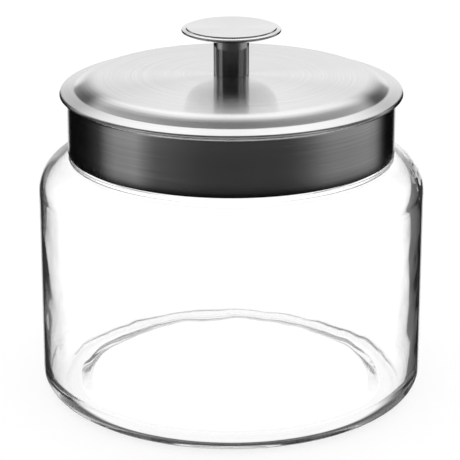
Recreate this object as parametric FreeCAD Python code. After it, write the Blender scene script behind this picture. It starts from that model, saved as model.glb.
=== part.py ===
"""Glass storage jar with a spun aluminium lid: one STEP file for each piece.

Millimetres, +Z up. The origin is at the middle of the foot, on the surface the jar stands on.
Every piece is turned about the Z axis, so each one is drawn as half a section (radius, height)
and revolved. A section is a path of straight runs whose corners are rounded by tangent arcs.
"""
import FreeCAD, Part
import math
import os

V = FreeCAD.Vector

# --- driving dimensions: the glass ---------------------------------------------------------
BODY_R = 92.6            # outer radius of the wall just above the base
BODY_DRAFT = 0.5         # how much smaller that radius is at the shoulder
BODY_H = 115.75          # height at which the shoulder meets the neck
SHOULDER_STEP = 16.1     # from the wall in to the neck
SHOULDER_SLOPE = 10.0    # degrees that the top of the shoulder falls outwards
SHOULDER_ROUND = 17.0    # radius between wall and shoulder
NECK_H = 30.0            # height of the neck above the shoulder
NECK_ROUND = 2.5         # radius in the corner between shoulder and neck
GLASS_T = 3.8            # thickness of wall, shoulder and neck
BASE_T = 6.0             # thickness of the base at its edge
BASE_CROWN = 1.2         # how much higher the floor is in the middle
BASE_ROUND = 9.5         # outer radius between wall and base
FLOOR_ROUND = 7.5        # inner radius between wall and floor
FOOT_W = 9.0             # width of the flat ring that the jar stands on
PUSH_UP = 2.4            # height of the hollow inside that ring
PUSH_UP_RUN = 6.0        # width of the slope up into that hollow

# --- driving dimensions: the lid -----------------------------------------------------------
LID_PLAY = 1.05          # radial play between the neck and the band
SHEET_T = 1.0            # metal of the lid's top
BAND_T = 0.8             # metal of the band
BAND_GAP = 2.6           # from the shoulder up to the band's lower edge
BAND_FLARE_H = 2.6       # height over which the band flares out under the flange
BAND_COVE = 2.2          # outer radius at the foot of that flare
BAND_LAND = 0.8          # flat on the band's tip that the flange rests on
FLANGE_OVERHANG = 3.35   # how far the lid's edge stands out past the band
FLANGE_FALL = 1.2        # how much the flange falls from the flank to its edge
EDGE_DROP = 1.0          # height of the edge that is turned down
EDGE_LEAN = 0.3          # how far that edge leans outwards
EDGE_ROUND = 1.3         # outer radius where it turns
TUCK = 0.3               # from the turned edge in to the band's own flange
FLANK_INSET = 1.7        # from the neck's outside in to the foot of the flank
FLANK_RUN = 6.1          # width of the flank
FLANK_RISE = 4.0         # height of the flank
FLANK_FOOT_ROUND = 2.0   # radius at the foot of the flank
KNEE_ROUND = 3.0         # radius at the top of the flank
CROWN_RISE = 1.5         # height of the shallow dome above the knee

# --- driving dimensions: the seal ----------------------------------------------------------
SEAL_T = 2.2             # seal between the rim and the lid, at the foot of the flank
SEAL_PLAY = 0.25         # radial play between the seal and what is round it
SEAL_SKIRT_T = 1.2       # thickness of the lip that hangs inside the neck
SEAL_SKIRT_H = 7.0       # depth of that lip below the rim
SEAL_ROUND = 0.6         # radius along that lip's inner edges

# --- driving dimensions: the knob ----------------------------------------------------------
POST_R = 8.45            # radius of the post
POST_H = 19.8            # height of the post above the lid
POST_CHAMFER = 0.4       # chamfer round the post's foot
SEAT_MARGIN = 1.5        # flat on the lid outside the post's foot
DISC_R = 23.5            # radius of the disc
DISC_T = 2.9             # thickness of the disc
DISC_LEDGE_W = 2.1       # width of the ledge round the disc's face
DISC_LEDGE_DROP = 0.55   # how far the ledge lies below the face
DISC_LEDGE_FALL = 0.35   # how much the ledge falls to its outer edge
DISC_LEDGE_COVE = 0.18   # radius in the corner of the ledge
DISC_STEP_LEAN = 0.28    # how far the step up to the face leans inwards
DISC_NOSE = 0.5          # radius round the disc's edge
DISC_UNDER_RUN = 2.6     # width of the bevel under the disc's edge
DISC_UNDER_RISE = 1.1    # height of that bevel

# --- sizes that follow ---------------------------------------------------------------------
NECK_R = BODY_R - BODY_DRAFT - SHOULDER_STEP
RIM_Z = BODY_H + NECK_H
SEAT_Z = RIM_Z + SEAL_T                  # underside of the lid at the foot of the flank
BAND_R = NECK_R + LID_PLAY + BAND_T      # outside of the band
LID_R = BAND_R + FLANGE_OVERHANG         # outside of the lid's edge
FLANK_FOOT_R = NECK_R - FLANK_INSET

# --- how the sections are drawn ------------------------------------------------------------
RUN_SHARE = 0.98         # most of a run that its two roundings may use
LEAST_ROUND = 0.05       # rounding left where moving a path sideways would use it up
TOUCHING = 1e-6          # points closer than this are one point


# --- sections ------------------------------------------------------------------------------
def unit(a, b):
    """The direction from point a to point b."""
    length = math.hypot(b[0] - a[0], b[1] - a[1])
    return (b[0] - a[0]) / length, (b[1] - a[1]) / length


def half_turn_tan(d1, d2):
    """The tangent of half the angle between two directions."""
    turn = math.atan2(d1[0] * d2[1] - d1[1] * d2[0], d1[0] * d2[0] + d1[1] * d2[1])
    return math.tan(abs(turn) / 2)


def fitted(path):
    """A path of (radius, height, rounding) whose roundings are cut down to fit their runs.

    A rounding of None is as large as its runs allow.
    """
    corners = range(1, len(path) - 1)
    runs = [math.dist(a[:2], b[:2]) for a, b in zip(path, path[1:])]
    tans = {i: half_turn_tan(unit(path[i - 1], path[i]), unit(path[i], path[i + 1])) for i in corners}
    reach = {0: 0.0, len(path) - 1: 0.0}
    for i in corners:
        wanted = path[i][2]
        reach[i] = min(runs[i - 1], runs[i]) if wanted is None else wanted * tans[i]
    share = [1.0] * len(runs)
    for i, run in enumerate(runs):
        used = reach[i] + reach[i + 1]
        if used > RUN_SHARE * run:
            share[i] = RUN_SHARE * run / used
    out = [(*path[0][:2], 0.0)]
    for i in corners:
        out.append((*path[i][:2], reach[i] * min(share[i - 1], share[i]) / tans[i]))
    return out + [(*path[-1][:2], 0.0)]


def beside(path, distance):
    """The fitted path moved sideways, to the right of its direction, with concentric roundings."""
    path = fitted(path)
    dirs = [unit(a, b) for a, b in zip(path, path[1:])]
    normals = [(d[1], -d[0]) for d in dirs]
    out = []
    for i, (r, z, rounding) in enumerate(path):
        n1 = normals[max(i - 1, 0)]
        n2 = normals[min(i, len(normals) - 1)]
        scale = distance / (1 + n1[0] * n2[0] + n1[1] * n2[1])
        side = n1[0] * n2[1] - n1[1] * n2[0]
        grown = rounding + distance * math.copysign(1, side) if rounding else 0.0
        out.append((r + (n1[0] + n2[0]) * scale, z + (n1[1] + n2[1]) * scale, max(grown, LEAST_ROUND)))
    return out


def edges(path):
    """The lines and tangent arcs of a path."""
    path = fitted(path)
    made = []
    here = V(path[0][0], 0, path[0][1])
    for i in range(1, len(path) - 1):
        (r, z, rounding) = path[i]
        d1, d2 = unit(path[i - 1], path[i]), unit(path[i], path[i + 1])
        reach = rounding * half_turn_tan(d1, d2)
        start = V(r - d1[0] * reach, 0, z - d1[1] * reach)
        end = V(r + d2[0] * reach, 0, z + d2[1] * reach)
        corner = V(r, 0, z)
        inward = (start + end) * 0.5 - corner
        centre_gap = math.hypot(reach, rounding)
        middle = corner + inward.normalize() * (centre_gap - rounding) if reach > TOUCHING else corner
        if start.distanceToPoint(here) > TOUCHING:
            made.append(Part.LineSegment(here, start).toShape())
        if reach > TOUCHING:
            made.append(Part.Arc(start, middle, end).toShape())
        here = end
    last = V(path[-1][0], 0, path[-1][1])
    if last.distanceToPoint(here) > TOUCHING:
        made.append(Part.LineSegment(here, last).toShape())
    return made


def ends(path):
    """The first and last points of a path."""
    return V(path[0][0], 0, path[0][1]), V(path[-1][0], 0, path[-1][1])


def turned(outline):
    """The solid that a closed outline of edges makes when it is revolved about the Z axis."""
    face = Part.Face(Part.Wire(Part.__sortEdges__(outline)))
    solid = face.revolve(V(0, 0, 0), V(0, 0, 1), 360)
    return solid if solid.Volume > 0 else solid.reversed()


def turned_path(path):
    """A solid from a path that closes on itself, or along the axis."""
    first, last = ends(path)
    return turned(edges(path) + [Part.LineSegment(last, first).toShape()])


def turned_sheet(face_path, back_path, round_nose):
    """Sheet metal between two paths side by side; its last end is square, or has a round nose."""
    a0, a1 = ends(face_path)
    b0, b1 = ends(back_path)
    outline = edges(face_path) + edges(back_path)
    outline.append(Part.LineSegment(a0, b0).toShape())
    if round_nose:
        direction = unit(face_path[-2], face_path[-1])
        tip = (a1 + b1) * 0.5 + V(direction[0], 0, direction[1]) * (a1.distanceToPoint(b1) / 2)
        outline.append(Part.Arc(a1, tip, b1).toShape())
    else:
        outline.append(Part.LineSegment(a1, b1).toShape())
    return turned(outline)


def height_on(a, b, r):
    """The height at radius r on the line through a and b."""
    return a[1] + (b[1] - a[1]) * (r - a[0]) / (b[0] - a[0])


# --- the glass -----------------------------------------------------------------------------
def glass_jar():
    """One blown piece: hollow foot, drafted wall, rounded shoulder, straight neck, polished rim."""
    foot_out = BODY_R - BASE_ROUND
    foot_in = foot_out - FOOT_W
    top_r = BODY_R - BODY_DRAFT
    shoulder_fall = SHOULDER_STEP * math.tan(math.radians(SHOULDER_SLOPE))
    outside = [
        (0, PUSH_UP, 0),
        (foot_in - PUSH_UP_RUN, PUSH_UP, PUSH_UP_RUN),
        (foot_in, 0, PUSH_UP_RUN / 2),
        (BODY_R, 0, BASE_ROUND),
        (top_r, BODY_H - shoulder_fall, SHOULDER_ROUND),
        (NECK_R, BODY_H, NECK_ROUND),
        (NECK_R, RIM_Z, GLASS_T / 2),
    ]
    wall_side = beside(outside[3:] + [(NECK_R - GLASS_T, RIM_Z, 0)], -GLASS_T)
    shoulder_in, neck_in = wall_side[1], wall_side[2]
    inside = [
        (NECK_R - GLASS_T, RIM_Z, GLASS_T / 2),
        neck_in,
        shoulder_in,
        (BODY_R - GLASS_T, BASE_T, FLOOR_ROUND),
        (0, BASE_T + BASE_CROWN, 0),
    ]
    return turned_path(outside + inside)


# --- the lid -------------------------------------------------------------------------------
def lid_face():
    """The top face of the lid, from the axis out to the lower end of its turned edge."""
    foot_z = SEAT_Z + SHEET_T
    knee_r, knee_z = FLANK_FOOT_R - FLANK_RUN, foot_z + FLANK_RISE
    crown_z = knee_z + CROWN_RISE
    dome_r = (POST_R + SEAT_MARGIN + knee_r) / 2
    edge_z = foot_z - FLANGE_FALL
    return [
        (0, crown_z, 0),
        (dome_r, crown_z, None),
        (knee_r, knee_z, KNEE_ROUND),
        (FLANK_FOOT_R, foot_z, FLANK_FOOT_ROUND),
        (LID_R - EDGE_LEAN, edge_z, EDGE_ROUND),
        (LID_R, edge_z - EDGE_DROP, 0),
    ]


def lid_top():
    """Spun sheet: shallow dome with a flat seat for the knob, flank, flange and turned edge."""
    face = lid_face()
    return turned_sheet(face, beside(face, SHEET_T), True)


def under_flange(r):
    """The height of the flange's underside at radius r."""
    under = beside(lid_face(), SHEET_T)
    return height_on(under[3], under[4], r)


def lid_band():
    """Rolled band round the neck, flared out at its top to carry the lid's flange."""
    inner_r = BAND_R - BAND_T
    reach = beside(lid_face(), SHEET_T)[4][0] - TUCK
    inner = [
        (inner_r, BODY_H + BAND_GAP, 0),
        (inner_r, under_flange(inner_r) - BAND_FLARE_H, BAND_COVE + BAND_T),
        (reach - BAND_LAND, under_flange(reach - BAND_LAND), BAND_LAND / 2),
        (reach, under_flange(reach), 0),
    ]
    return turned_sheet(inner, beside(inner, BAND_T), False)


def seal_ring():
    """Soft ring on the rim: its top follows the flange, and its lip hangs inside the neck."""
    outer_r = NECK_R + LID_PLAY - SEAL_PLAY
    foot_r, foot_z = beside(lid_face(), SHEET_T)[3][:2]
    lip_out = NECK_R - GLASS_T - SEAL_PLAY
    lip_in = lip_out - SEAL_SKIRT_T
    lip_z = RIM_Z - SEAL_SKIRT_H
    return turned_path([
        (lip_out, RIM_Z, 0),
        (outer_r, RIM_Z, 0),
        (outer_r, under_flange(outer_r), 0),
        (foot_r, foot_z, 0),
        (lip_in, foot_z, SEAL_ROUND),
        (lip_in, lip_z, SEAL_ROUND),
        (lip_out, lip_z, SEAL_ROUND / 2),
    ])


# --- the knob ------------------------------------------------------------------------------
def knob_post():
    """Turned post that stands on the lid's flat seat, with a chamfer round its foot."""
    foot_z = lid_face()[0][1]
    return turned_path([
        (0, foot_z, 0),
        (POST_R - POST_CHAMFER, foot_z, 0),
        (POST_R, foot_z + POST_CHAMFER, 0),
        (POST_R, foot_z + POST_H, 0),
        (0, foot_z + POST_H, 0),
    ])


def knob_disc():
    """Flat disc on the post: stepped ledge round its face and a bevel under its edge."""
    low_z = lid_face()[0][1] + POST_H
    face_z = low_z + DISC_T
    step_r = DISC_R - DISC_LEDGE_W
    ledge_z = face_z - DISC_LEDGE_DROP
    return turned_path([
        (0, low_z, 0),
        (DISC_R - DISC_UNDER_RUN, low_z, DISC_UNDER_RISE),
        (DISC_R, low_z + DISC_UNDER_RISE, DISC_NOSE),
        (DISC_R, ledge_z - DISC_LEDGE_FALL, DISC_NOSE),
        (step_r, ledge_z, DISC_LEDGE_COVE),
        (step_r - DISC_STEP_LEAN, face_z, DISC_STEP_LEAN),
        (0, face_z, 0),
    ])


PIECES = {
    "glass_jar": glass_jar,
    "seal_ring": seal_ring,
    "lid_band": lid_band,
    "lid_top": lid_top,
    "knob_post": knob_post,
    "knob_disc": knob_disc,
}

os.makedirs("parts", exist_ok=True)
for name, make in PIECES.items():
    piece = make()
    if not piece.isValid() or len(piece.Solids) != 1:
        raise ValueError(f"{name} is not one valid solid")
    piece.exportStep(f"parts/{name}.step")
    box = piece.optimalBoundingBox()
    print(f"{name}: {piece.Volume / 1000:.1f} cm3, radius {box.XMax:.2f}, z {box.ZMin:.2f} to {box.ZMax:.2f}")
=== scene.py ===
"""A clear glass storage jar with a spun aluminium lid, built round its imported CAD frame.

Every piece is a body of revolution. Its section is drawn as a path of (radius, height, rounding),
extruded point by point from one vertex and spun about the Z axis. The inside of the glass is then
made a little uneven. Sizes are in metres.
"""
import math

import bmesh
import bpy
from bpy.props import FloatProperty, FloatVectorProperty, IntProperty, PointerProperty
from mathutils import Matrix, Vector


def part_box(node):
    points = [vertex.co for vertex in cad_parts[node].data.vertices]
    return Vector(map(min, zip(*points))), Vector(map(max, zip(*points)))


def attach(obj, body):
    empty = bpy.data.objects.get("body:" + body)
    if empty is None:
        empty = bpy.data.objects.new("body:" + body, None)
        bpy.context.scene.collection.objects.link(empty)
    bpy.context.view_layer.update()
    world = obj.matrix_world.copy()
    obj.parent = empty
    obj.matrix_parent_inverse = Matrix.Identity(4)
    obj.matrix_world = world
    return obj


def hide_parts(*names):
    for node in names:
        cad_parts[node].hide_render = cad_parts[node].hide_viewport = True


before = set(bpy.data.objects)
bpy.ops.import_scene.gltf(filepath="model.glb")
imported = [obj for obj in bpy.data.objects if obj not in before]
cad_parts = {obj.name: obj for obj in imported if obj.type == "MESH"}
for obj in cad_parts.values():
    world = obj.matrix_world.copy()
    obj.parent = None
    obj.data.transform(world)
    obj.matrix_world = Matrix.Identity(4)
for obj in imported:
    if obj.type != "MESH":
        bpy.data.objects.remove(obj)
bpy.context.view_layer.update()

bl_info = {
    "name": "Glass storage jar",
    "version": (1, 0, 0),
    "blender": (4, 5, 0),
    "location": "View3D > Sidebar > Storage jar",
    "description": "Builds a glass storage jar with a spun aluminium lid, and its stage",
    "category": "Add Mesh",
}

NODE_BOX = {node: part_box(node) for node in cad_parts}

RUN_SHARE = 0.98        # most of a run that its two roundings may use
LEAST_ROUND = 0.00005   # rounding left where moving a path sideways would use it up
WELD = 0.000002         # points closer than this are one point
FACET_LOSS = 0.00004    # what its flat facets take off the radius of the CAD's glass
START_SIZE = 0.01       # plane that is merged to a section's first point
SMOOTH_ANGLE = 35       # degrees up to which a metal or seal edge is shaded smooth
GLASS_ANGLE = 60        # the same for the glass
NOSE_STEPS = 8          # steps round the half circle at a sheet's tip
BEAD_TOP_ROUND = 0.9    # rounding over the bead, as a share of how far it stands out

LINES_ACROSS = 1600     # brushed lines, in noise cells per metre across them
BAND_LINES_ALONG = 12   # the same along the lines of band and post
FACE_LINES_ALONG = 14   # the same along the lines of a turned face
LINE_DETAIL = 4.0       # how many finer layers the lines have
LINE_GRAIN = 0.65       # how strong the finer layers are
LINE_DARK, LINE_LIGHT = 0.25, 0.75      # noise levels of the darkest and the lightest line
ROUGH_LEAST, ROUGH_SPREAD = 0.8, 0.4    # least roughness and its spread, as shares of the mean
LINE_DEPTH = 0.00002    # height of the lines in the surface
QUARTER_TURN = 0.25     # turns the blur of a metal, in whole turns

# How strong the lines show in a metal: in its colour, and in its surface.
BAND_LINES = (0.12, 0.3)
SPUN_LINES = (0.10, 0.3)
POST_LINES = (0.02, 0.1)
DISC_LINES = (0.04, 0.3)

# The band's painted shade by height, from 0 at its foot to 1 at its top: painted shade darkens its foot
# and its top edge, and a painted highlight lightens a strip just under the top.
BAND_PAINTED_SHADE = (
    (0.0, 0.03), (0.05, 0.2), (0.12, 0.6), (0.25, 0.86), (0.6, 0.86), (0.82, 1.0), (0.9, 1.0), (0.94, 0.5),
)

GLASS_IOR = 1.5
RIPPLE_SCALE = 90.0     # noise cells per metre in the ripple of the glass
RIPPLE_DETAIL = 1.0
RIPPLE_STRENGTH = 0.1
RIPPLE_DEPTH = 0.00005  # height of the ripple in the surface

SEAL_SCALE = 300.0      # noise cells per metre in the seal
SEAL_DETAIL = 2.0
SEAL_SHADE = 0.95       # its darker spots, as a share of its colour
SEAL_DARK, SEAL_LIGHT = 0.3, 0.7        # noise levels of the darkest and the lightest spot
SEAL_ROUGHNESS = 0.45
SEAL_CLEARNESS = 0.2

MOST_BOUNCES = 64       # most bounces that light makes, needed by the glass
STUDIO_GAIN = 1.6       # brightest level of the studio, as a ramp's own colours end at 1
VIEW_END = 50           # how far the camera sees, in metres

# The studio that metal and glass mirror: levels by degrees round the jar, 0 being behind it as
# the camera stands. Each ring fills the heights up to the blend into the next one.
LOW_RING = (
    (-180, 0.037), (-160, 0.042), (-142, 0.07), (-126, 0.10), (-118, 0.18), (-110, 0.32), (-92, 0.30),
    (-84, 0.20), (-76, 0.05), (-66, 0.02), (-56, 0.004), (-21, 0.004), (-17, 1.0), (17, 1.0), (21, 0.004),
    (44, 0.004), (50, 0.03), (56, 0.15), (62, 0.27), (72, 0.31), (88, 0.28), (104, 0.25), (113, 0.20),
    (121, 0.13), (128, 0.085), (138, 0.05), (150, 0.04), (180, 0.037),
)
MIDDLE_RING = (
    (-180, 0.01), (-122, 0.01), (-118, 0.28), (-98, 0.28), (-94, 0.03), (-69, 0.03), (-60, 0.45),
    (-47, 0.45), (-42, 0.06), (-26, 0.08), (-20, 0.35), (-13, 0.6), (-6, 1.0), (6, 1.05), (15, 0.7),
    (21, 0.35), (26, 0.03), (42, 0.02), (47, 0.45), (60, 0.45), (69, 0.03), (94, 0.03), (97, 0.17),
    (130, 0.16), (134, 0.01), (180, 0.01),
)
HIGH_RING = (
    (-180, 0.02), (-90, 0.05), (-56, 0.30), (-46, 0.42), (-32, 0.55), (-18, 1.6), (18, 1.6), (32, 0.50),
    (46, 0.36), (56, 0.26), (90, 0.05), (180, 0.02),
)
TOP_RING = ((-180, 0.03), (-100, 0.03), (-80, 0.17), (80, 0.17), (100, 0.03), (180, 0.03))
LOW_BLEND = (3, 12)     # degrees of height over which a ring gives way to the next one
MIDDLE_BLEND = (26, 34)
HIGH_BLEND = (56, 70)
# More light in the middle ring on the camera's side, for light that was mirrored only once.
FRONT_LIGHT = ((-180, 0.6), (-120, 0.6), (-102, 0), (102, 0), (120, 0.6), (180, 0.6))

# What shows by way of a mirroring inside the glass wall: levels by degrees round the jar, levels by
# degrees of height, and how far the first of the two holds at each height.
WALL_RING = (
    (-60, 1.0), (-50, 0.05), (-2, 0.05), (4, 0.02), (6, 0.015), (19, 0.015), (23, 0.17), (34, 0.20),
    (48, 0.3), (60, 1.0),
)
WALL_HEIGHTS = (
    (-30, 1.0), (-26, 0.7), (-12, 0.5), (0, 0.3), (8, 0.1), (14, 0.03), (26, 0.03), (36, 0.4), (44, 1.0),
)
WALL_RING_HOLDS = ((-42, 0.0), (-34, 1.0), (-6, 1.0), (-1, 0.0))


def low(node):
    """Height of a CAD node's underside."""
    return NODE_BOX[node][0][2]


def high(node):
    """Height of a CAD node's top."""
    return NODE_BOX[node][1][2]


def reach(node):
    """Largest radius of a CAD node."""
    return NODE_BOX[node][1][0]


# --- what a user may change ----------------------------------------------------------------
def length(name, default, text):
    """A length in metres."""
    return FloatProperty(name=name, description=text, default=default, min=0, unit="LENGTH", precision=5)


def angle(name, degrees, text):
    """An angle, given in degrees."""
    return FloatProperty(name=name, description=text, default=math.radians(degrees), subtype="ANGLE")


def share(name, default, text):
    """A number from 0 to 1."""
    return FloatProperty(name=name, description=text, default=default, min=0, max=1, subtype="FACTOR")


def colour(name, default, text):
    """A colour with no gamma."""
    return FloatVectorProperty(name=name, description=text, default=default, min=0, max=1, subtype="COLOR")


class JarGlassSizes(bpy.types.PropertyGroup):
    """Sizes of the glass."""

    draft: length("Draft", 0.0005, "How much smaller the wall is at the shoulder than at the base")
    shoulder_height: length("Shoulder height", 0.11575, "Where the shoulder meets the neck")
    shoulder_step: length("Shoulder step", 0.0161, "From the wall in to the neck")
    shoulder_slope: angle("Shoulder slope", 10, "How steeply the shoulder's top falls outwards")
    shoulder_round: length("Shoulder rounding", 0.017, "Radius between wall and shoulder")
    throat_round: length("Throat rounding", 0.0012, "Inner radius between shoulder and neck")
    neck_round: length("Neck rounding", 0.0025, "Radius between shoulder and neck")
    wall: length("Wall", 0.0038, "Thickness of neck and shoulder")
    body_extra: length("Thicker body", 0.0007, "How much thicker the wall is below the shoulder")
    bead: length("Bead", 0.0012, "How far the ring at the foot of the neck stands out")
    bead_height: length("Bead height", 0.0012, "Height of that ring")
    base: length("Base", 0.0034, "Thickness of the base at its edge")
    base_crown: length("Floor crown", 0.0008, "How much higher the floor is in the middle")
    base_round: length("Base rounding", 0.0095, "Outer radius between wall and base")
    floor_round: length("Floor rounding", 0.0100, "Inner radius between wall and floor")
    foot: length("Foot", 0.009, "Width of the flat ring that the jar stands on")
    push_up: length("Push-up", 0.0018, "Height of the hollow inside that ring")
    push_up_run: length("Push-up run", 0.006, "Width of the slope up into that hollow")
    wall_shift: length("Wall shift", 0.0007, "How far the inside stands off centre, to the left")
    wave: length("Wave", 0.0005, "How strongly the inner wall wavers")
    wave_size: length("Wave size", 0.030, "Size of the waves in the inner wall")
    wave_fade: length("Wave fade", 0.022, "Height over which the waves fade out at floor and shoulder")


class LidSizes(bpy.types.PropertyGroup):
    """Sizes of the lid and its seal."""

    sheet: length("Sheet", 0.001, "Metal of the lid's top")
    band_sheet: length("Band sheet", 0.0008, "Metal of the band")
    play: length("Play", 0.00105, "Radial play between the neck and the band")
    flare_height: length("Flare height", 0.0026, "Height over which the band flares out under the flange")
    cove: length("Cove", 0.0022, "Outer radius at the foot of that flare")
    land: length("Land", 0.0008, "Flat on the band's tip that the flange rests on")
    flange_fall: length("Flange fall", 0.0012, "How much the flange falls to its edge")
    edge_drop: length("Edge drop", 0.001, "Height of the edge that is turned down")
    edge_lean: length("Edge lean", 0.0003, "How far that edge leans outwards")
    edge_round: length("Edge rounding", 0.0013, "Outer radius where it turns")
    overhang: length("Overhang", 0.00335, "How far the lid's edge stands out past the band")
    tuck: length("Tuck", 0.0003, "From the turned edge in to the band's own flange")
    flank_inset: length("Flank inset", 0.0017, "From the neck's outside in to the foot of the flank")
    flank_run: length("Flank run", 0.0061, "Width of the flank")
    flank_rise: length("Flank rise", 0.004, "Height of the flank")
    flank_foot_round: length("Flank foot rounding", 0.002, "Radius at the foot of the flank")
    knee_round: length("Knee rounding", 0.018, "Radius at the top of the flank")
    crown_rise: length("Crown rise", 0.0015, "Height of the shallow dome above the knee")
    seal_play: length("Seal play", 0.00025, "Radial play round the seal")
    seal_lip: length("Seal lip", 0.0012, "Thickness of the lip that hangs inside the neck")
    seal_round: length("Seal rounding", 0.0006, "Radius along that lip's inner edges")


class KnobSizes(bpy.types.PropertyGroup):
    """Sizes of the knob."""

    chamfer: length("Foot chamfer", 0.0004, "Chamfer round the post's foot")
    seat_margin: length("Seat margin", 0.0015, "Flat on the lid outside the post's foot")
    ledge: length("Ledge", 0.0021, "Width of the ledge round the disc's face")
    ledge_drop: length("Ledge drop", 0.00055, "How far the ledge lies below the face")
    ledge_fall: length("Ledge fall", 0.00035, "How much the ledge falls to its outer edge")
    ledge_cove: length("Ledge cove", 0.00018, "Radius in the corner of the ledge")
    step_lean: length("Step lean", 0.00028, "How far the step up to the face leans inwards")
    nose: length("Nose", 0.0005, "Radius round the disc's edge")
    under_run: length("Bevel width", 0.0026, "Width of the bevel under the disc's edge")
    under_rise: length("Bevel height", 0.0011, "Height of that bevel")


class TurningSizes(bpy.types.PropertyGroup):
    """How finely the sections are drawn and spun."""

    steps: IntProperty(name="Steps round", description="Steps that a section is spun in",
                       default=256, min=32)
    glass_steps: IntProperty(name="Steps round the glass", description="Steps that the glass is spun in",
                             default=384, min=32)
    arc: angle("Arc step", 6, "Largest turn between two points of a rounding")
    run: length("Run step", 0.003, "Longest run between two points of the glass")


class Finishes(bpy.types.PropertyGroup):
    """Colours and polish."""

    seal: colour("Seal", (0.85, 0.86, 0.86), "Colour of the soft seal")
    band: colour("Band", (0.80, 0.80, 0.80), "Colour of the band")
    spun: colour("Spun metal", (0.74, 0.74, 0.74), "Colour of the lid's top")
    post: colour("Post", (0.85, 0.85, 0.86), "Colour of the knob's post")
    disc: colour("Disc", (0.74, 0.74, 0.74), "Colour of the knob's disc")
    band_roughness: share("Band roughness", 0.16, "Roughness of the band")
    spun_roughness: share("Spun roughness", 0.21, "Roughness of the lid's top")
    post_roughness: share("Post roughness", 0.05, "Roughness of the post")
    disc_roughness: share("Disc roughness", 0.17, "Roughness of the disc")
    brushing: share("Brushing", 1.0, "How much more a brushed surface blurs across its lines")


class StageSettings(bpy.types.PropertyGroup):
    """Camera, floor and light."""

    lens: FloatProperty(name="Lens", description="Focal length in millimetres", default=153.7, min=1)
    distance: length("Distance", 0.9524, "From the camera to the point it looks at")
    looks_at: length("Looks at", 0.07627, "Height of the point the camera looks at")
    aside: length("Aside", 0.00063, "How far left of the jar's axis the camera stands")
    elevation: angle("Elevation", 19.354, "How far the camera looks down")
    floor: length("Floor", 6.0, "Size of the floor")
    glow: share("Floor glow", 0.78, "Part of the floor's white that no shadow darkens")
    floor_colour: share("Floor colour", 0.30, "Colour of the floor where light falls on it")
    fill: share("Fill", 0.9, "Even light from all round")


# --- sections ------------------------------------------------------------------------------
def direction(a, b):
    """The unit vector from point a to point b."""
    run = math.hypot(b[0] - a[0], b[1] - a[1])
    return (b[0] - a[0]) / run, (b[1] - a[1]) / run


def turn_between(d1, d2):
    """The signed angle from one direction to another."""
    return math.atan2(d1[0] * d2[1] - d1[1] * d2[0], d1[0] * d2[0] + d1[1] * d2[1])


def fitted(path):
    """A path whose roundings are cut down to fit their runs; None is as large as they allow."""
    corners = range(1, len(path) - 1)
    runs = [math.dist(a[:2], b[:2]) for a, b in zip(path, path[1:])]
    dirs = [direction(a, b) for a, b in zip(path, path[1:])]
    tans = {i: math.tan(abs(turn_between(dirs[i - 1], dirs[i])) / 2) for i in corners}
    used = {0: 0.0, len(path) - 1: 0.0}
    for i in corners:
        wanted = path[i][2]
        used[i] = min(runs[i - 1], runs[i]) if wanted is None else wanted * tans[i]
    fits = [min(1.0, RUN_SHARE * run / max(used[i] + used[i + 1], WELD)) for i, run in enumerate(runs)]
    inner = [(*path[i][:2], used[i] * min(fits[i - 1], fits[i]) / tans[i]) for i in corners]
    return [(*path[0][:2], 0.0)] + inner + [(*path[-1][:2], 0.0)]


def beside(path, distance):
    """The path moved sideways, to the right of its direction, with concentric roundings."""
    path = fitted(path)
    dirs = [direction(a, b) for a, b in zip(path, path[1:])]
    normals = [(d[1], -d[0]) for d in dirs]
    out = []
    for i, (r, z, rounding) in enumerate(path):
        n1 = normals[max(i - 1, 0)]
        n2 = normals[min(i, len(normals) - 1)]
        scale = distance / (1 + n1[0] * n2[0] + n1[1] * n2[1])
        side = math.copysign(1, n1[0] * n2[1] - n1[1] * n2[0])
        grown = max(rounding + distance * side, LEAST_ROUND) if rounding else 0.0
        out.append((r + (n1[0] + n2[0]) * scale, z + (n1[1] + n2[1]) * scale, grown))
    return out


def points_along(path, arc_step, run_step=None):
    """The points (radius, height) of a path: its ends, its roundings and steps along its runs."""
    path = fitted(path)
    points = [path[0][:2]]

    def run_to(point):
        start = points[-1]
        gap = math.dist(start, point)
        count = max(1, math.ceil(gap / run_step)) if run_step else 1
        if gap > WELD:
            for k in range(1, count + 1):
                points.append(tuple(s + (p - s) * k / count for s, p in zip(start, point)))

    for i in range(1, len(path) - 1):
        r, z, rounding = path[i]
        d1, d2 = direction(path[i - 1], path[i]), direction(path[i], path[i + 1])
        turn = turn_between(d1, d2)
        cut = rounding * math.tan(abs(turn) / 2)
        start = (r - d1[0] * cut, z - d1[1] * cut)
        run_to(start)
        side = math.copysign(1, turn)
        centre = (start[0] - d1[1] * rounding * side, start[1] + d1[0] * rounding * side)
        count = max(1, math.ceil(abs(turn) / arc_step))
        for k in range(1, count + 1) if cut > WELD else ():
            c, s = math.cos(turn * k / count), math.sin(turn * k / count)
            x, y = start[0] - centre[0], start[1] - centre[1]
            points.append((centre[0] + c * x - s * y, centre[1] + s * x + c * y))
    run_to(path[-1][:2])
    return points


def height_on(a, b, r):
    """The height at radius r on the line through a and b."""
    return a[1] + (b[1] - a[1]) * (r - a[0]) / (b[0] - a[0])


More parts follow.
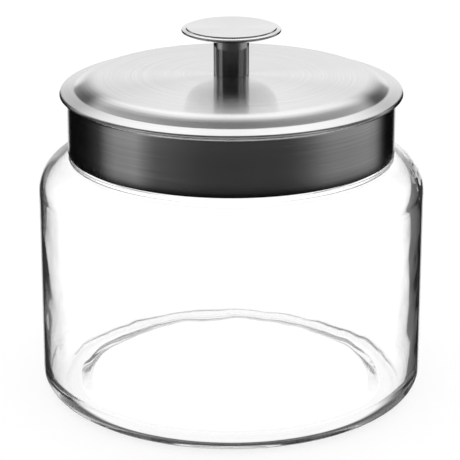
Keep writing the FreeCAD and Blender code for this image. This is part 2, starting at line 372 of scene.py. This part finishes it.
# --- turning -------------------------------------------------------------------------------
def turned(name, points, steps, smooth_angle=SMOOTH_ANGLE):
    """A piece spun about the Z axis from the points (radius, height) of its section."""
    bpy.ops.object.select_all(action="DESELECT")
    bpy.ops.mesh.primitive_plane_add(size=START_SIZE)
    piece = bpy.context.object
    piece.name = name
    piece.data.name = name
    bpy.ops.object.mode_set(mode="EDIT")
    bpy.ops.mesh.select_mode(type="VERT")
    bpy.ops.mesh.select_all(action="SELECT")
    bpy.ops.mesh.merge(type="CENTER")
    bpy.ops.transform.translate(value=(points[0][0], 0, points[0][1]))
    for a, b in zip(points, points[1:]):
        step = (b[0] - a[0], 0, b[1] - a[1])
        bpy.ops.mesh.extrude_region_move(TRANSFORM_OT_translate={"value": step})
    bpy.ops.mesh.select_all(action="SELECT")
    bpy.ops.mesh.spin(steps=steps, angle=math.tau, center=(0, 0, 0), axis=(0, 0, 1))
    bpy.ops.mesh.select_all(action="SELECT")
    bpy.ops.mesh.remove_doubles(threshold=WELD)
    bpy.ops.mesh.normals_make_consistent(inside=False)
    bpy.ops.object.mode_set(mode="OBJECT")
    bpy.ops.object.shade_smooth_by_angle(angle=math.radians(smooth_angle))
    if not piece.data.polygons:
        raise RuntimeError(f"{name} has no faces")
    return piece


def kept(piece, node, material):
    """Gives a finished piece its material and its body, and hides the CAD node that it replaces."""
    piece.data.materials.append(material)
    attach(piece, "root")
    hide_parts(node)


# --- materials -----------------------------------------------------------------------------
def put(tree, kind, **settings):
    """A new node; settings with a capital are its inputs, the others its own values."""
    node = tree.nodes.new("ShaderNode" + kind)
    for key, value in settings.items():
        name = key.replace("_", " ")
        if key[0].isupper():
            if hasattr(value, "bl_rna") and isinstance(value, bpy.types.NodeSocket):
                tree.links.new(value, node.inputs[name])
            else:
                node.inputs[name].default_value = value
        else:
            setattr(node, key, value)
    return node


def maths(tree, operation, a, b=None, c=None):
    """The output of a Math node."""
    node = tree.nodes.new("ShaderNodeMath")
    node.operation = operation
    for socket, value in zip(node.inputs, (a, b, c)):
        if isinstance(value, bpy.types.NodeSocket):
            tree.links.new(value, socket)
        elif value is not None:
            socket.default_value = value
    return node.outputs[0]


def ramp(tree, factor, stops):
    """The colour output of a ramp of greys or colours."""
    node = put(tree, "ValToRGB", Fac=factor)
    elements = node.color_ramp.elements
    while len(elements) < len(stops):
        elements.new(0.5)
    for element, (place, value) in zip(elements, stops):
        element.position = place
        element.color = (value, value, value, 1) if isinstance(value, (int, float)) else (*value, 1)
    return node.outputs["Color"]


def new_material(name):
    """An empty material: its tree and its principled shader."""
    material = bpy.data.materials.new(name)
    material.use_nodes = True
    tree = material.node_tree
    tree.nodes.clear()
    shader = put(tree, "BsdfPrincipled")
    out = put(tree, "OutputMaterial")
    tree.links.new(shader.outputs[0], out.inputs["Surface"])
    return material, tree, shader


def object_place(tree):
    """The place of a point on the piece."""
    return put(tree, "TexCoord").outputs["Object"]


def clear_glass():
    """Clear colourless glass, its surface faintly rippled as pressed glass is."""
    material, tree, shader = new_material("clear_glass")
    ripple = put(tree, "TexNoise", Vector=object_place(tree), Scale=RIPPLE_SCALE, Detail=RIPPLE_DETAIL)
    bump = put(tree, "Bump", Height=ripple.outputs[0], Strength=RIPPLE_STRENGTH, Distance=RIPPLE_DEPTH)
    tree.links.new(bump.outputs[0], shader.inputs["Normal"])
    shader.inputs["Base Color"].default_value = (1, 1, 1, 1)
    shader.inputs["Transmission Weight"].default_value = 1
    shader.inputs["Roughness"].default_value = 0
    shader.inputs["IOR"].default_value = GLASS_IOR
    return material


def soft_plastic(tint):
    """Soft, milky plastic."""
    material, tree, shader = new_material("soft_seal")
    noise = put(tree, "TexNoise", Vector=object_place(tree), Scale=SEAL_SCALE, Detail=SEAL_DETAIL)
    spots = tuple(c * SEAL_SHADE for c in tint)
    shade = ramp(tree, noise.outputs[0], ((SEAL_DARK, spots), (SEAL_LIGHT, tuple(tint))))
    tree.links.new(shade, shader.inputs["Base Color"])
    shader.inputs["Roughness"].default_value = SEAL_ROUGHNESS
    shader.inputs["Transmission Weight"].default_value = SEAL_CLEARNESS
    return material


def metal(name, tint, roughness, brushing, across, lines, heights=None):
    """Bright metal with fine lines: across gives the place that the lines are drawn from, lines
    how strong they show, and heights the foot and top of a band whose colour is darkened near its edges
    by painted shade, with a painted highlight just under its top."""
    streaks, strength = lines
    material, tree, shader = new_material(name)
    noise = put(tree, "TexNoise", Vector=across(tree), Scale=1.0, Detail=LINE_DETAIL, Roughness=LINE_GRAIN)
    shade = ramp(tree, noise.outputs[0], (
        (LINE_DARK, tuple(c * (1 - streaks) for c in tint)),
        (LINE_LIGHT, tuple(min(1, c * (1 + streaks)) for c in tint)),
    ))
    if heights:
        height = put(tree, "SeparateXYZ", Vector=object_place(tree)).outputs[2]
        rise = put(tree, "MapRange", Value=height, From_Min=heights[0], From_Max=heights[1])
        # painted shade at the band's foot and top and a painted highlight under its top, multiplied into
        # the colour
        painted_band_shade = ramp(tree, rise.outputs[0], BAND_PAINTED_SHADE)
        shade = put(tree, "MixRGB", blend_type="MULTIPLY", Fac=1.0, Color1=shade, Color2=painted_band_shade).outputs[0]
    tree.links.new(shade, shader.inputs["Base Color"])
    rough = maths(tree, "MULTIPLY_ADD", noise.outputs[0], ROUGH_SPREAD * roughness, ROUGH_LEAST * roughness)
    tree.links.new(rough, shader.inputs["Roughness"])
    bump = put(tree, "Bump", Height=noise.outputs[0], Strength=strength, Distance=LINE_DEPTH)
    tree.links.new(bump.outputs[0], shader.inputs["Normal"])
    shader.inputs["Metallic"].default_value = 1
    shader.inputs["Anisotropic"].default_value = brushing
    shader.inputs["Anisotropic Rotation"].default_value = QUARTER_TURN
    tangent = put(tree, "Tangent", direction_type="RADIAL", axis="Z")
    tree.links.new(tangent.outputs[0], shader.inputs["Tangent"])
    return material


def round_the_band(tree):
    """Lines that run round a band: fine in height, long round it."""
    cells = (BAND_LINES_ALONG, BAND_LINES_ALONG, LINES_ACROSS)
    return put(tree, "Mapping", Vector=object_place(tree), Scale=cells).outputs[0]


def round_the_face(tree):
    """Lines that run round a turned face: fine in radius, long round it."""
    x, y = put(tree, "SeparateXYZ", Vector=object_place(tree)).outputs[:2]
    flat = put(tree, "CombineXYZ", X=x, Y=y)
    radius = put(tree, "VectorMath", operation="LENGTH")
    tree.links.new(flat.outputs[0], radius.inputs[0])
    fine = maths(tree, "MULTIPLY", radius.outputs["Value"], LINES_ACROSS)
    x_long = maths(tree, "MULTIPLY", x, FACE_LINES_ALONG)
    y_long = maths(tree, "MULTIPLY", y, FACE_LINES_ALONG)
    return put(tree, "CombineXYZ", X=x_long, Y=y_long, Z=fine).outputs[0]


# --- sections of the pieces ----------------------------------------------------------------
def body_radius():
    """Outer radius of the glass where it is widest."""
    return reach("glass_jar") + FACET_LOSS


def neck_radius(s):
    """Outer radius of the neck."""
    return body_radius() - s.draft - s.shoulder_step


def glass_section(s):
    """The outer path of the glass, from the axis over the foot to the rim, and the inner one back."""
    r = body_radius()
    rim = high("glass_jar")
    foot_out = r - s.base_round
    foot_in = foot_out - s.foot
    top_r = r - s.draft
    neck_r = top_r - s.shoulder_step
    fall = s.shoulder_step * math.tan(s.shoulder_slope)
    outside = [
        (0, s.push_up, 0),
        (foot_in - s.push_up_run, s.push_up, s.push_up_run),
        (foot_in, 0, s.push_up_run / 2),
        (r, 0, s.base_round),
        (top_r, s.shoulder_height - fall, s.shoulder_round),
        (neck_r, s.shoulder_height, s.neck_round),
        (neck_r, rim, s.wall / 2),
    ]
    wall = beside(outside[3:] + [(neck_r - s.wall, rim, 0)], -s.wall)
    outside[5:6] = [
        (neck_r + s.bead, s.shoulder_height, s.bead),
        (neck_r + s.bead, s.shoulder_height + s.bead_height, s.bead * BEAD_TOP_ROUND),
        (neck_r, s.shoulder_height + s.bead_height + s.bead / 2, s.bead / 2),
    ]
    inside = [
        (neck_r - s.wall, rim, s.wall / 2),
        (*wall[2][:2], s.throat_round),
        (wall[1][0] - s.body_extra, *wall[1][1:]),
        (r - s.wall - s.body_extra, s.base, s.floor_round),
        (0, s.base + s.base_crown, 0),
    ]
    return outside, inside


def uneven(piece, s):
    """Makes the inside of the wall uneven, as in real glass: off centre, and with slow waves."""
    inner_r = reach("glass_jar") - s.wall - s.body_extra
    bottom, top = s.base + s.floor_round, s.shoulder_height - s.shoulder_round
    group = piece.vertex_groups.new(name="inner_wall")
    bpy.ops.object.mode_set(mode="EDIT")
    bpy.ops.mesh.select_all(action="DESELECT")
    mesh = bmesh.from_edit_mesh(piece.data)
    weights = {}
    for vertex in mesh.verts:
        radius, z = math.hypot(vertex.co.x, vertex.co.y), vertex.co.z
        vertex.select = abs(radius - inner_r) < s.wall / 2 and bottom < z < top
        if vertex.select:
            weights[vertex.index] = min(1, (z - bottom) / s.wave_fade, (top - z) / s.wave_fade)
    mesh.select_flush(True)
    bmesh.update_edit_mesh(piece.data)
    bpy.ops.transform.translate(
        value=(-s.wall_shift, 0, 0), use_proportional_edit=True, use_proportional_connected=True,
        proportional_edit_falloff="SMOOTH", proportional_size=s.wave_fade)
    bpy.ops.object.mode_set(mode="OBJECT")
    for index, weight in weights.items():
        group.add([index], weight, "REPLACE")
    clouds = bpy.data.textures.new("wall_waves", "CLOUDS")
    clouds.noise_scale = s.wave_size
    waves = piece.modifiers.new("waves", "DISPLACE")
    waves.texture = clouds
    waves.texture_coords = "LOCAL"
    waves.strength = s.wave
    waves.vertex_group = group.name
    bpy.ops.object.modifier_apply(modifier=waves.name)
    piece.vertex_groups.clear()


def lid_face(s, knob, neck_r):
    """The top face of the lid, from the axis out to the lower end of its turned edge."""
    crown_z = high("lid_top")
    knee_z = crown_z - s.crown_rise
    foot_r = neck_r - s.flank_inset
    knee_r = foot_r - s.flank_run
    foot_z = knee_z - s.flank_rise
    lid_r = neck_r + s.play + s.band_sheet + s.overhang
    dome_r = (reach("knob_post") + knob.seat_margin + knee_r) / 2
    edge_z = foot_z - s.flange_fall
    return [
        (0, crown_z, 0),
        (dome_r, crown_z, None),
        (knee_r, knee_z, s.knee_round),
        (foot_r, foot_z, s.flank_foot_round),
        (lid_r - s.edge_lean, edge_z, s.edge_round),
        (lid_r, edge_z - s.edge_drop, 0),
    ]


def sheet_outline(face, back, arc, nose=False):
    """The closed outline of sheet metal between two paths side by side, its tip rounded by nose."""
    front = points_along(face, arc)
    rear = points_along(back, arc)[::-1]
    tip = []
    if nose:
        a, b = front[-1], rear[0]
        half = math.dist(a, b) / 2
        mid = ((a[0] + b[0]) / 2, (a[1] + b[1]) / 2)
        out = direction(face[-2], face[-1])
        for k in range(1, NOSE_STEPS):
            t = math.pi * k / NOSE_STEPS
            c, s = math.cos(t), math.sin(t) * half
            tip.append(tuple(m + (start - m) * c + o * s for m, start, o in zip(mid, a, out)))
    return front + tip + rear + front[:1]


# --- operators -----------------------------------------------------------------------------
class JAR_OT_glass(bpy.types.Operator):
    """Turn the glass jar: hollow foot, drafted wall, rounded shoulder, neck and polished rim."""

    bl_idname = "storage_jar.glass"
    bl_label = "Glass jar"

    def execute(self, context):
        sizes, turning = context.scene.jar_glass, context.scene.jar_turning
        outside, inside = glass_section(sizes)
        outer = points_along(outside, turning.arc, turning.run)
        inner = points_along(inside, turning.arc, turning.run)
        piece = turned("jar_glass", outer + inner[1:], turning.glass_steps, GLASS_ANGLE)
        uneven(piece, sizes)
        kept(piece, "glass_jar", clear_glass())
        return {"FINISHED"}


class JAR_OT_seal(bpy.types.Operator):
    """Turn the soft ring that sits on the rim, with its lip inside the neck."""

    bl_idname = "storage_jar.seal"
    bl_label = "Seal ring"

    def execute(self, context):
        glass, lid, turning = context.scene.jar_glass, context.scene.jar_lid, context.scene.jar_turning
        neck_r = neck_radius(glass)
        rim = high("glass_jar")
        under = beside(lid_face(lid, context.scene.jar_knob, neck_r), lid.sheet)
        outer_r = neck_r + lid.play - lid.seal_play
        lip_out = neck_r - glass.wall - lid.seal_play
        lip_in = lip_out - lid.seal_lip
        lip_z = low("seal_ring")
        foot_r, foot_z = under[3][:2]
        points = points_along([
            (lip_out, rim, 0),
            (outer_r, rim, 0),
            (outer_r, height_on(under[3], under[4], outer_r), 0),
            (foot_r, foot_z, 0),
            (lip_in, foot_z, lid.seal_round),
            (lip_in, lip_z, lid.seal_round),
            (lip_out, lip_z, lid.seal_round / 2),
            (lip_out, rim, 0),
        ], turning.arc)
        piece = turned("seal_ring", points, turning.steps)
        kept(piece, "seal_ring", soft_plastic(context.scene.jar_finishes.seal))
        return {"FINISHED"}


class JAR_OT_band(bpy.types.Operator):
    """Turn the band round the neck, flared out at its top under the lid's flange."""

    bl_idname = "storage_jar.band"
    bl_label = "Lid band"

    def execute(self, context):
        scene = context.scene
        lid, turning, look = scene.jar_lid, scene.jar_turning, scene.jar_finishes
        neck_r = neck_radius(scene.jar_glass)
        under = beside(lid_face(lid, scene.jar_knob, neck_r), lid.sheet)
        inner_r = neck_r + lid.play
        tip_r = under[4][0] - lid.tuck
        land_r = tip_r - lid.land
        inner = [
            (inner_r, low("lid_band"), 0),
            (inner_r, height_on(under[3], under[4], inner_r) - lid.flare_height, lid.cove + lid.band_sheet),
            (land_r, height_on(under[3], under[4], land_r), lid.land / 2),
            (tip_r, height_on(under[3], under[4], tip_r), 0),
        ]
        outline = sheet_outline(inner, beside(inner, lid.band_sheet), turning.arc)
        piece = turned("lid_band", outline, turning.steps)
        kept(piece, "lid_band",
             metal("band_metal", look.band, look.band_roughness, look.brushing, round_the_band, BAND_LINES,
                   (low("lid_band"), high("lid_band"))))
        return {"FINISHED"}


class JAR_OT_lid(bpy.types.Operator):
    """Spin the lid's top: shallow dome, flank, flange and turned edge."""

    bl_idname = "storage_jar.lid"
    bl_label = "Lid top"

    def execute(self, context):
        scene = context.scene
        lid, turning, look = scene.jar_lid, scene.jar_turning, scene.jar_finishes
        face = lid_face(lid, scene.jar_knob, neck_radius(scene.jar_glass))
        outline = sheet_outline(face, beside(face, lid.sheet), turning.arc, nose=True)
        piece = turned("lid_top", outline[:-1], turning.steps)
        kept(piece, "lid_top",
             metal("spun_metal", look.spun, look.spun_roughness, look.brushing, round_the_face, SPUN_LINES))
        return {"FINISHED"}


class JAR_OT_knob(bpy.types.Operator):
    """Turn the knob: a post with a chamfered foot, and a disc with a ledge and a bevelled edge."""

    bl_idname = "storage_jar.knob"
    bl_label = "Knob"

    def execute(self, context):
        scene = context.scene
        knob, turning, look = scene.jar_knob, scene.jar_turning, scene.jar_finishes
        post_r, foot_z, top_z = reach("knob_post"), low("knob_post"), high("knob_post")
        post = turned("knob_post", points_along([
            (0, foot_z, 0),
            (post_r - knob.chamfer, foot_z, 0),
            (post_r, foot_z + knob.chamfer, 0),
            (post_r, top_z, 0),
            (0, top_z, 0),
        ], turning.arc), turning.steps)
        kept(post, "knob_post",
             metal("post_metal", look.post, look.post_roughness, 0.0, round_the_band, POST_LINES))
        disc_r, low_z, face_z = reach("knob_disc"), low("knob_disc"), high("knob_disc")
        step_r = disc_r - knob.ledge
        ledge_z = face_z - knob.ledge_drop
        disc = turned("knob_disc", points_along([
            (0, low_z, 0),
            (disc_r - knob.under_run, low_z, knob.under_rise),
            (disc_r, low_z + knob.under_rise, knob.nose),
            (disc_r, ledge_z - knob.ledge_fall, knob.nose),
            (step_r, ledge_z, knob.ledge_cove),
            (step_r - knob.step_lean, face_z, knob.step_lean),
            (0, face_z, 0),
        ], turning.arc), turning.steps)
        kept(disc, "knob_disc",
             metal("disc_metal", look.disc, look.disc_roughness, look.brushing, round_the_face, DISC_LINES))
        return {"FINISHED"}


# --- stage ---------------------------------------------------------------------------------
def sight(tree):
    """The light path, rays that come through glass, and rays that were mirrored in its wall.

    The last ones were mirrored before they had crossed more than one wall.
    """
    path = put(tree, "LightPath")
    bounced = maths(tree, "GREATER_THAN", path.outputs["Glossy Depth"], 0.5)
    one_wall = maths(tree, "LESS_THAN", path.outputs["Transmission Depth"], 2.5)
    caught = maths(tree, "MULTIPLY", bounced, one_wall)
    inside = maths(tree, "MULTIPLY", path.outputs["Is Transmission Ray"], caught)
    through = maths(tree, "SUBTRACT", path.outputs["Is Transmission Ray"], inside)
    return path, through, inside


def mixed(tree, factor, first, second, blend_type="MIX"):
    """The colour output of a Mix node."""
    return put(tree, "MixRGB", blend_type=blend_type, Fac=factor, Color1=first, Color2=second).outputs[0]


def grey(level):
    """A grey of that level as a colour."""
    return (level, level, level, 1)


def surroundings(world, fill):
    """White to the eye and through glass, even light, and for reflections a studio round the jar."""
    world.use_nodes = True
    world.cycles.sampling_method = "NONE"
    tree = world.node_tree
    tree.nodes.clear()
    x, y, z = put(tree, "SeparateXYZ", Vector=put(tree, "TexCoord").outputs["Generated"]).outputs
    round_about = maths(tree, "MULTIPLY_ADD", maths(tree, "ARCTAN2", x, y), 1 / math.tau, 0.5)
    up = maths(tree, "MULTIPLY_ADD", maths(tree, "ARCSINE", z), 1 / math.pi, 0.5)

    def ring(stops, top_level=1.0):
        """Levels by degrees round the jar."""
        places = [(0.5 + degrees / 360, level / top_level) for degrees, level in stops]
        return ramp(tree, round_about, places)

    def rise(stops):
        """Levels by degrees of height."""
        return ramp(tree, up, [(0.5 + degrees / 180, level) for degrees, level in stops])

    def over(blend, below, higher):
        """One ring below the first height of the blend, the other above the second."""
        return mixed(tree, rise(((blend[0], 0.0), (blend[1], 1.0))), below, higher)

    path, through, inside = sight(tree)
    low_ring, middle_ring, high_ring, top, front = (
        ring(stops, STUDIO_GAIN) for stops in (LOW_RING, MIDDLE_RING, HIGH_RING, TOP_RING, FRONT_LIGHT))
    mirrored_once = maths(tree, "LESS_THAN", path.outputs["Glossy Depth"], 1.5)
    middle_ring = mixed(tree, mirrored_once, middle_ring, front, "ADD")
    upper = over(MIDDLE_BLEND, middle_ring, over(HIGH_BLEND, high_ring, top))
    studio = mixed(tree, 1.0, over(LOW_BLEND, low_ring, upper), grey(STUDIO_GAIN), "MULTIPLY")
    wall = mixed(tree, rise(WALL_RING_HOLDS), rise(WALL_HEIGHTS), ring(WALL_RING))
    light = mixed(tree, path.outputs["Is Glossy Ray"], grey(fill), studio)
    light = mixed(tree, inside, light, wall)
    light = mixed(tree, through, light, grey(1))
    light = mixed(tree, path.outputs["Is Camera Ray"], light, grey(1))
    background = put(tree, "Background", Color=light, Strength=1.0)
    out = put(tree, "OutputWorld")
    tree.links.new(background.outputs[0], out.inputs["Surface"])


def floor_material(glow, tint):
    """A white floor: part of its white is its own, the rest is the light that falls on it.

    Through glass its own white is full, and light that was mirrored in a wall passes through it.
    """
    material = bpy.data.materials.new("floor")
    material.use_nodes = True
    tree = material.node_tree
    tree.nodes.clear()
    path, through, inside = sight(tree)
    own = maths(tree, "MULTIPLY_ADD", through, 1 - glow, glow)
    emission = put(tree, "Emission", Color=grey(1), Strength=own)
    diffuse = put(tree, "BsdfDiffuse", Color=grey(tint))
    both = put(tree, "AddShader")
    tree.links.new(emission.outputs[0], both.inputs[0])
    tree.links.new(diffuse.outputs[0], both.inputs[1])
    seen = maths(tree, "MAXIMUM", path.outputs["Is Camera Ray"], through)
    choice = put(tree, "MixShader", Fac=seen)
    tree.links.new(diffuse.outputs[0], choice.inputs[1])
    tree.links.new(both.outputs[0], choice.inputs[2])
    open_to = put(tree, "MixShader", Fac=inside)
    tree.links.new(choice.outputs[0], open_to.inputs[1])
    tree.links.new(put(tree, "BsdfTransparent").outputs[0], open_to.inputs[2])
    out = put(tree, "OutputMaterial")
    tree.links.new(open_to.outputs[0], out.inputs["Surface"])
    return material


class JAR_OT_stage(bpy.types.Operator):
    """Set the floor, the light and the camera."""

    bl_idname = "storage_jar.stage"
    bl_label = "Stage"

    def execute(self, context):
        scene, stage = context.scene, context.scene.jar_stage
        bpy.ops.object.select_all(action="DESELECT")
        bpy.ops.mesh.primitive_plane_add(size=stage.floor)
        floor = context.object
        floor.name = "floor"
        floor.data.materials.append(floor_material(stage.glow, stage.floor_colour))
        floor.visible_glossy = False
        world = bpy.data.worlds.new("studio")
        scene.world = world
        surroundings(world, stage.fill)
        target = Vector((-stage.aside, 0, stage.looks_at))
        away = Vector((0, -math.cos(stage.elevation), math.sin(stage.elevation)))
        bpy.ops.object.camera_add(location=target + away * stage.distance)
        camera = context.object
        camera.rotation_euler = (-away).to_track_quat("-Z", "Y").to_euler()
        camera.data.lens = stage.lens
        camera.data.clip_end = VIEW_END
        scene.camera = camera
        scene.view_settings.view_transform = "Standard"
        scene.cycles.max_bounces = MOST_BOUNCES
        scene.cycles.transmission_bounces = MOST_BOUNCES
        scene.cycles.glossy_bounces = MOST_BOUNCES
        return {"FINISHED"}


class JAR_PT_panel(bpy.types.Panel):
    """Lists the pieces of the jar and its stage."""

    bl_idname = "JAR_PT_panel"
    bl_label = "Storage jar"
    bl_space_type = "VIEW_3D"
    bl_region_type = "UI"
    bl_category = "Storage jar"

    def draw(self, context):
        for operator in PIECES:
            self.layout.operator(operator.bl_idname)


GROUPS = {
    "jar_glass": JarGlassSizes,
    "jar_lid": LidSizes,
    "jar_knob": KnobSizes,
    "jar_turning": TurningSizes,
    "jar_finishes": Finishes,
    "jar_stage": StageSettings,
}
PIECES = (JAR_OT_glass, JAR_OT_seal, JAR_OT_band, JAR_OT_lid, JAR_OT_knob, JAR_OT_stage)


def register():
    """Registers the settings, the operators and the panel."""
    for name, group in GROUPS.items():
        bpy.utils.register_class(group)
        setattr(bpy.types.Scene, name, PointerProperty(type=group))
    for operator in PIECES:
        bpy.utils.register_class(operator)
    bpy.utils.register_class(JAR_PT_panel)


def unregister():
    """Takes them away again."""
    bpy.utils.unregister_class(JAR_PT_panel)
    for operator in PIECES:
        bpy.utils.unregister_class(operator)
    for name, group in GROUPS.items():
        delattr(bpy.types.Scene, name)
        bpy.utils.unregister_class(group)


def main():
    """Builds every piece and the stage."""
    register()
    bpy.ops.storage_jar.glass()
    bpy.ops.storage_jar.seal()
    bpy.ops.storage_jar.band()
    bpy.ops.storage_jar.lid()
    bpy.ops.storage_jar.knob()
    bpy.ops.storage_jar.stage()


if __name__ == "__main__":
    main()
